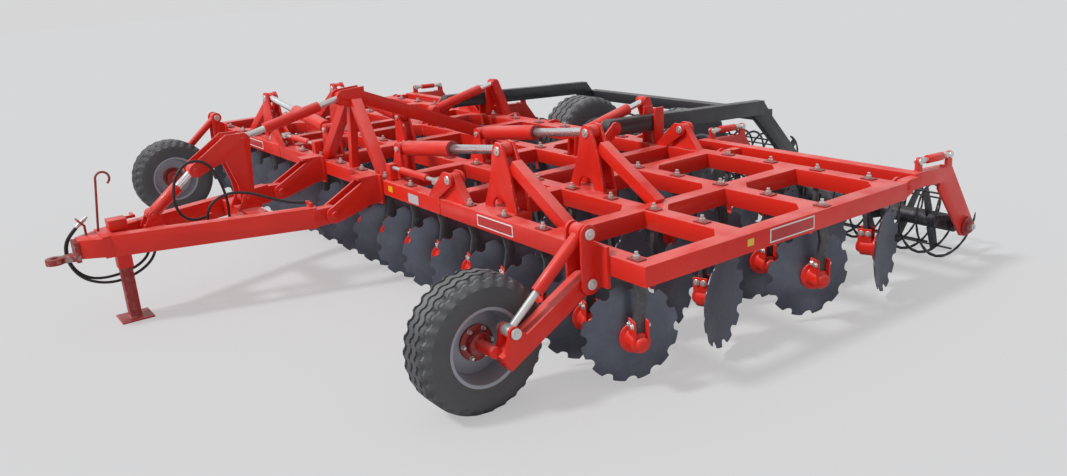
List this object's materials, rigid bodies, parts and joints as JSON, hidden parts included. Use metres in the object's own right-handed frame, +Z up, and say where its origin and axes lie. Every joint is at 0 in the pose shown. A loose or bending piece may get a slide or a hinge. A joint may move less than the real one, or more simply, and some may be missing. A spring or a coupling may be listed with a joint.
{
  "type": "disc harrow",
  "caption": "Trailed folding disc harrow with four staggered rows of notched discs, gauge wheels, levelling linkage, cage rollers and a transport axle.",
  "frame": {"origin": "the middle of the footprint, on the ground", "axes": "+X to the machine's left, +Y to its rear, +Z up"},
  "size_m": [7.0857, 6.385, 1.4],
  "materials": {
    "bell_crank": "gloss red paint",
    "centre_frame": "gloss red paint",
    "discs_centre": "blue-grey hardened steel",
    "discs_left": "blue-grey hardened steel",
    "discs_right": "blue-grey hardened steel",
    "drawbar": "gloss red paint",
    "fold_barrels_left": "gloss red paint",
    "fold_barrels_right": "gloss red paint",
    "fold_rods_left": "chromed rod",
    "fold_rods_right": "chromed rod",
    "fold_towers_left": "gloss red paint",
    "fold_towers_right": "gloss red paint",
    "frame_brackets": "gloss red paint",
    "gauge_rim_left": "silver paint",
    "gauge_rim_right": "silver paint",
    "gauge_tyre_left": "black rubber",
    "gauge_tyre_right": "black rubber",
    "hitch_brackets": "gloss red paint",
    "hose_coupler_inner": "black hose",
    "hose_coupler_outer": "black hose",
    "hose_couplers": "zinc plate",
    "hose_cylinder": "black hose",
    "hose_drawbar": "black hose",
    "hose_stand": "gloss red paint",
    "hubs_centre": "gloss red paint",
    "hubs_left": "gloss red paint",
    "hubs_right": "gloss red paint",
    "jack_leg": "gloss red paint",
    "jack_sleeve": "gloss red paint",
    "level_barrel": "gloss red paint",
    "level_link": "gloss red paint",
    "level_rod": "chromed rod",
    "lift_barrels": "gloss red paint",
    "lift_rods": "chromed rod",
    "mast": "gloss red paint",
    "roller_centre": "black paint",
    "roller_frame_centre": "dark grey paint",
    "roller_frame_left": "gloss red paint",
    "roller_frame_right": "gloss red paint",
    "roller_left": "black paint",
    "roller_right": "black paint",
    "roller_turnbuckles_left": "black paint",
    "roller_turnbuckles_right": "black paint",
    "shanks_centre": "dark grey paint",
    "shanks_left": "dark grey paint",
    "shanks_right": "dark grey paint",
    "spindle_screw_left": "chromed rod",
    "spindle_screw_right": "chromed rod",
    "spindle_sleeve_left": "gloss red paint",
    "spindle_sleeve_right": "gloss red paint",
    "tow_eye": "worn forged steel",
    "transport_axle": "gloss red paint",
    "transport_rim_left": "silver paint",
    "transport_rim_right": "silver paint",
    "transport_tyre_left": "black rubber",
    "transport_tyre_right": "black rubber",
    "wheel_arm_left": "gloss red paint",
    "wheel_arm_right": "gloss red paint",
    "wing_frame_left": "gloss red paint",
    "wing_frame_right": "gloss red paint"
  },
  "bodies": {
    "centre": {"centre_frame": "centre_frame", "frame_brackets": "frame_brackets", "mast": "mast", "hitch_brackets": "hitch_brackets", "shanks_centre": "shanks_centre", "hubs_centre": "hubs_centre", "discs_centre": "discs_centre"},
    "drawbar": {"drawbar": "drawbar", "tow_eye": "tow_eye", "jack_sleeve": "jack_sleeve", "hose_stand": "hose_stand", "hose_couplers": "hose_couplers", "hose_coupler_outer": "hose_coupler_outer", "hose_coupler_inner": "hose_coupler_inner", "hose_cylinder": "hose_cylinder", "hose_drawbar": "hose_drawbar"},
    "jack": {"jack_leg": "jack_leg"},
    "bell_crank": {"bell_crank": "bell_crank"},
    "level_link": {"level_link": "level_link"},
    "level_barrel": {"level_barrel": "level_barrel"},
    "level_rod": {"level_rod": "level_rod"},
    "roller_frame_centre": {"roller_frame_centre": "roller_frame_centre"},
    "roller_centre": {"roller_centre": "roller_centre"},
    "transport_axle": {"transport_axle": "transport_axle"},
    "lift_barrels": {"lift_barrels": "lift_barrels"},
    "lift_rods": {"lift_rods": "lift_rods"},
    "wing_left": {"wing_frame_left": "wing_frame_left", "fold_towers_left": "fold_towers_left", "shanks_left": "shanks_left", "hubs_left": "hubs_left", "discs_left": "discs_left"},
    "wheel_arm_left": {"wheel_arm_left": "wheel_arm_left"},
    "spindle_sleeve_left": {"spindle_sleeve_left": "spindle_sleeve_left"},
    "spindle_screw_left": {"spindle_screw_left": "spindle_screw_left"},
    "fold_barrels_left": {"fold_barrels_left": "fold_barrels_left"},
    "fold_rods_left": {"fold_rods_left": "fold_rods_left"},
    "roller_frame_left": {"roller_frame_left": "roller_frame_left", "roller_turnbuckles_left": "roller_turnbuckles_left"},
    "roller_left": {"roller_left": "roller_left"},
    "gauge_wheel_left": {"gauge_tyre_left": "gauge_tyre_left", "gauge_rim_left": "gauge_rim_left"},
    "transport_wheel_left": {"transport_tyre_left": "transport_tyre_left", "transport_rim_left": "transport_rim_left"},
    "wing_right": {"wing_frame_right": "wing_frame_right", "fold_towers_right": "fold_towers_right", "shanks_right": "shanks_right", "hubs_right": "hubs_right", "discs_right": "discs_right"},
    "wheel_arm_right": {"wheel_arm_right": "wheel_arm_right"},
    "spindle_sleeve_right": {"spindle_sleeve_right": "spindle_sleeve_right"},
    "spindle_screw_right": {"spindle_screw_right": "spindle_screw_right"},
    "fold_barrels_right": {"fold_barrels_right": "fold_barrels_right"},
    "fold_rods_right": {"fold_rods_right": "fold_rods_right"},
    "roller_frame_right": {"roller_frame_right": "roller_frame_right", "roller_turnbuckles_right": "roller_turnbuckles_right"},
    "roller_right": {"roller_right": "roller_right"},
    "gauge_wheel_right": {"gauge_tyre_right": "gauge_tyre_right", "gauge_rim_right": "gauge_rim_right"},
    "transport_wheel_right": {"transport_tyre_right": "transport_tyre_right", "transport_rim_right": "transport_rim_right"}
  },
  "joints": [
    {"name": "drawbar_lift", "type": "hinge", "parent": "centre", "child": "drawbar", "pos_m": [0, -1.349, 0.576], "axis": [1, 0, 0], "range_deg": [-10, 5]},
    {"name": "jack_slide", "type": "slide", "parent": "drawbar", "child": "jack", "axis": [0, 0, 1], "range_m": [0, 0.2]},
    {"name": "bell_crank_turn", "type": "hinge", "parent": "drawbar", "child": "bell_crank", "pos_m": [0, -1.794, 0.702], "axis": [1, 0, 0], "range_deg": [-7.91, 15.63]},
    {"name": "level_link_swing", "type": "hinge", "parent": "bell_crank", "child": "level_link", "pos_m": [0, -1.765, 1.14], "axis": [1, 0, 0], "range_deg": [-10.95, 5.57]},
    {"name": "level_barrel_swing", "type": "hinge", "parent": "drawbar", "child": "level_barrel", "pos_m": [0, -2.465, 0.71], "axis": [1, 0, 0], "range_deg": [-5.82, 3.01]},
    {"name": "level_rod_slide", "type": "slide", "parent": "level_barrel", "child": "level_rod", "axis": [0, 0.7825, 0.6227], "range_m": [-0.1117, 0.0568]},
    {"name": "fold_left", "type": "hinge", "parent": "centre", "child": "wing_left", "pos_m": [1.61, 0.145, 0.92], "axis": [0, -1, 0], "range_deg": [0, 90]},
    {"name": "fold_barrel_swing_left", "type": "hinge", "parent": "centre", "child": "fold_barrels_left", "pos_m": [0.67, -0.775, 0.985], "axis": [0, -1, 0], "range_deg": [-0.2, 20.24]},
    {"name": "fold_rod_slide_left", "type": "slide", "parent": "fold_barrels_left", "child": "fold_rods_left", "axis": [0.9932, 0, 0.1164], "range_m": [-0.5758, 0.002]},
    {"name": "wheel_arm_tilt_left", "type": "hinge", "parent": "wing_left", "child": "wheel_arm_left", "pos_m": [3.092, -1.035, 0.617], "axis": [1, 0, 0], "range_deg": [-12, 2]},
    {"name": "spindle_swing_left", "type": "hinge", "parent": "wing_left", "child": "spindle_sleeve_left", "pos_m": [3.092, -1.037, 0.89], "axis": [1, 0, 0], "range_deg": [-9.08, 1.68]},
    {"name": "spindle_slide_left", "type": "slide", "parent": "spindle_sleeve_left", "child": "spindle_screw_left", "axis": [0, -0.7628, -0.6466], "range_m": [-0.0481, 0.0097]},
    {"name": "gauge_wheel_spin_left", "type": "hinge", "parent": "wheel_arm_left", "child": "gauge_wheel_left", "pos_m": [2.89, -1.61, 0.38], "axis": [1, 0, 0], "continuous": true},
    {"name": "roller_frame_tilt_left", "type": "hinge", "parent": "wing_left", "child": "roller_frame_left", "pos_m": [2.5, 1.3, 0.734], "axis": [1, 0, 0], "range_deg": [-2, 8]},
    {"name": "roller_spin_left", "type": "hinge", "parent": "roller_frame_left", "child": "roller_left", "pos_m": [2.4, 2.155, 0.27], "axis": [1, 0, 0], "continuous": true},
    {"name": "transport_wheel_spin_left", "type": "hinge", "parent": "transport_axle", "child": "transport_wheel_left", "pos_m": [0.74, 2.055, 0.435], "axis": [1, 0, 0], "continuous": true},
    {"name": "fold_right", "type": "hinge", "parent": "centre", "child": "wing_right", "pos_m": [-1.61, 0.145, 0.92], "axis": [0, 1, 0], "range_deg": [0, 90]},
    {"name": "fold_barrel_swing_right", "type": "hinge", "parent": "centre", "child": "fold_barrels_right", "pos_m": [-0.67, -0.775, 0.985], "axis": [0, 1, 0], "range_deg": [-0.2, 20.24]},
    {"name": "fold_rod_slide_right", "type": "slide", "parent": "fold_barrels_right", "child": "fold_rods_right", "axis": [-0.9932, 0, 0.1164], "range_m": [-0.5758, 0.002]},
    {"name": "wheel_arm_tilt_right", "type": "hinge", "parent": "wing_right", "child": "wheel_arm_right", "pos_m": [-3.092, -1.035, 0.617], "axis": [1, 0, 0], "range_deg": [-12, 2]},
    {"name": "spindle_swing_right", "type": "hinge", "parent": "wing_right", "child": "spindle_sleeve_right", "pos_m": [-3.092, -1.037, 0.89], "axis": [1, 0, 0], "range_deg": [-9.08, 1.68]},
    {"name": "spindle_slide_right", "type": "slide", "parent": "spindle_sleeve_right", "child": "spindle_screw_right", "axis": [0, -0.7628, -0.6466], "range_m": [-0.0481, 0.0097]},
    {"name": "gauge_wheel_spin_right", "type": "hinge", "parent": "wheel_arm_right", "child": "gauge_wheel_right", "pos_m": [-2.89, -1.61, 0.38], "axis": [1, 0, 0], "continuous": true},
    {"name": "roller_frame_tilt_right", "type": "hinge", "parent": "wing_right", "child": "roller_frame_right", "pos_m": [-2.5, 1.3, 0.734], "axis": [1, 0, 0], "range_deg": [-2, 8]},
    {"name": "roller_spin_right", "type": "hinge", "parent": "roller_frame_right", "child": "roller_right", "pos_m": [-2.4, 2.155, 0.27], "axis": [1, 0, 0], "continuous": true},
    {"name": "transport_wheel_spin_right", "type": "hinge", "parent": "transport_axle", "child": "transport_wheel_right", "pos_m": [-0.74, 2.055, 0.435], "axis": [1, 0, 0], "continuous": true},
    {"name": "roller_frame_tilt_centre", "type": "hinge", "parent": "centre", "child": "roller_frame_centre", "pos_m": [0, 0.745, 0.96], "axis": [1, 0, 0], "range_deg": [-1, 5]},
    {"name": "roller_spin_centre", "type": "hinge", "parent": "roller_frame_centre", "child": "roller_centre", "pos_m": [0, 2.925, 0.27], "axis": [1, 0, 0], "continuous": true},
    {"name": "transport_axle_tilt", "type": "hinge", "parent": "centre", "child": "transport_axle", "pos_m": [0, 1.345, 0.71], "axis": [1, 0, 0], "range_deg": [-16, 10]},
    {"name": "lift_barrel_swing", "type": "hinge", "parent": "centre", "child": "lift_barrels", "pos_m": [0, 0.5, 0.92], "axis": [1, 0, 0], "range_deg": [-0.44, 0.59]},
    {"name": "lift_rod_slide", "type": "slide", "parent": "lift_barrels", "child": "lift_rods", "axis": [0, 0.9713, 0.2377], "range_m": [-0.0722, 0.1144]}
  ],
  "couplings": [
    {"joint": "bell_crank_turn", "follows": "drawbar_lift", "ratio": -1.5427},
    {"joint": "level_link_swing", "follows": "drawbar_lift", "ratio": 1.0747},
    {"joint": "level_barrel_swing", "follows": "drawbar_lift", "ratio": 0.56154},
    {"joint": "level_rod_slide", "follows": "drawbar_lift", "m_per_rad": 0.62841},
    {"joint": "fold_barrel_swing_left", "follows": "fold_left", "ratio": 0.22266},
    {"joint": "fold_rod_slide_left", "follows": "fold_left", "m_per_rad": -0.36531},
    {"joint": "spindle_swing_left", "follows": "wheel_arm_tilt_left", "ratio": 0.73988},
    {"joint": "spindle_slide_left", "follows": "wheel_arm_tilt_left", "m_per_rad": 0.22005},
    {"joint": "fold_barrel_swing_right", "follows": "fold_right", "ratio": 0.22266},
    {"joint": "fold_rod_slide_right", "follows": "fold_right", "m_per_rad": -0.36531},
    {"joint": "spindle_swing_right", "follows": "wheel_arm_tilt_right", "ratio": 0.73988},
    {"joint": "spindle_slide_right", "follows": "wheel_arm_tilt_right", "m_per_rad": 0.22005},
    {"joint": "lift_barrel_swing", "follows": "transport_axle_tilt", "ratio": -0.02444},
    {"joint": "lift_rod_slide", "follows": "transport_axle_tilt", "m_per_rad": -0.40246}
  ]
}
